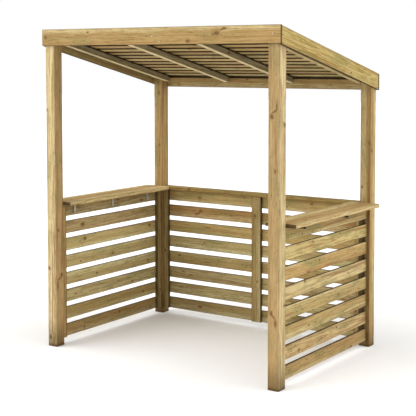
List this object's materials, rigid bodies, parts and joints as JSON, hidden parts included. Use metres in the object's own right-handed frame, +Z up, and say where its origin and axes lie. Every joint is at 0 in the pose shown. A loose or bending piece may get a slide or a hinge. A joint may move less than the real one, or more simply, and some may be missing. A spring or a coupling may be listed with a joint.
{
  "type": "barbecue shelter",
  "caption": "Open softwood barbecue shelter: posts under a back-sloping slatted roof, low slatted panels on the sides and back, and a shelf on each side.",
  "frame": {"origin": "on the floor at the middle of the four posts", "axes": "+X to the right of someone who faces the open front, +Y to the back, +Z up"},
  "size_m": [1.992, 1.308, 2.17],
  "materials": {
    "post_timber": "planed, pressure-treated softwood",
    "fascia_timber": "planed, pressure-treated softwood",
    "rafter_timber": "sawn, pressure-treated softwood",
    "roof_slat_timber": "planed, pressure-treated softwood",
    "panel_slat_timber": "planed, pressure-treated softwood",
    "batten_timber": "planed, pressure-treated softwood",
    "shelf_timber": "planed, pressure-treated softwood",
    "bracket_steel": "zinc-plated pressed steel"
  },
  "bodies": {
    "root": {"front_left_post": "post_timber", "front_right_post": "post_timber", "back_left_post": "post_timber", "back_right_post": "post_timber", "front_fascia": "fascia_timber", "back_fascia": "fascia_timber", "left_fascia": "fascia_timber", "right_fascia": "fascia_timber", "front_roof_beam": "rafter_timber", "back_roof_beam": "rafter_timber", "left_outer_rafter": "rafter_timber", "left_inner_rafter": "rafter_timber", "right_inner_rafter": "rafter_timber", "right_outer_rafter": "rafter_timber", "roof_slats": "roof_slat_timber", "roof_cover_slats": "roof_slat_timber", "left_panel_slats": "panel_slat_timber", "left_panel_front_batten": "batten_timber", "left_panel_back_batten": "batten_timber", "right_panel_slats": "panel_slat_timber", "right_panel_front_batten": "batten_timber", "right_panel_back_batten": "batten_timber", "back_panel_slats": "panel_slat_timber", "back_panel_left_batten": "batten_timber", "back_panel_middle_batten": "batten_timber", "back_panel_right_batten": "batten_timber", "left_shelf": "shelf_timber", "right_shelf": "shelf_timber", "back_capping_rail": "shelf_timber", "left_shelf_brackets": "bracket_steel", "right_shelf_brackets": "bracket_steel"}
  },
  "joints": []
}
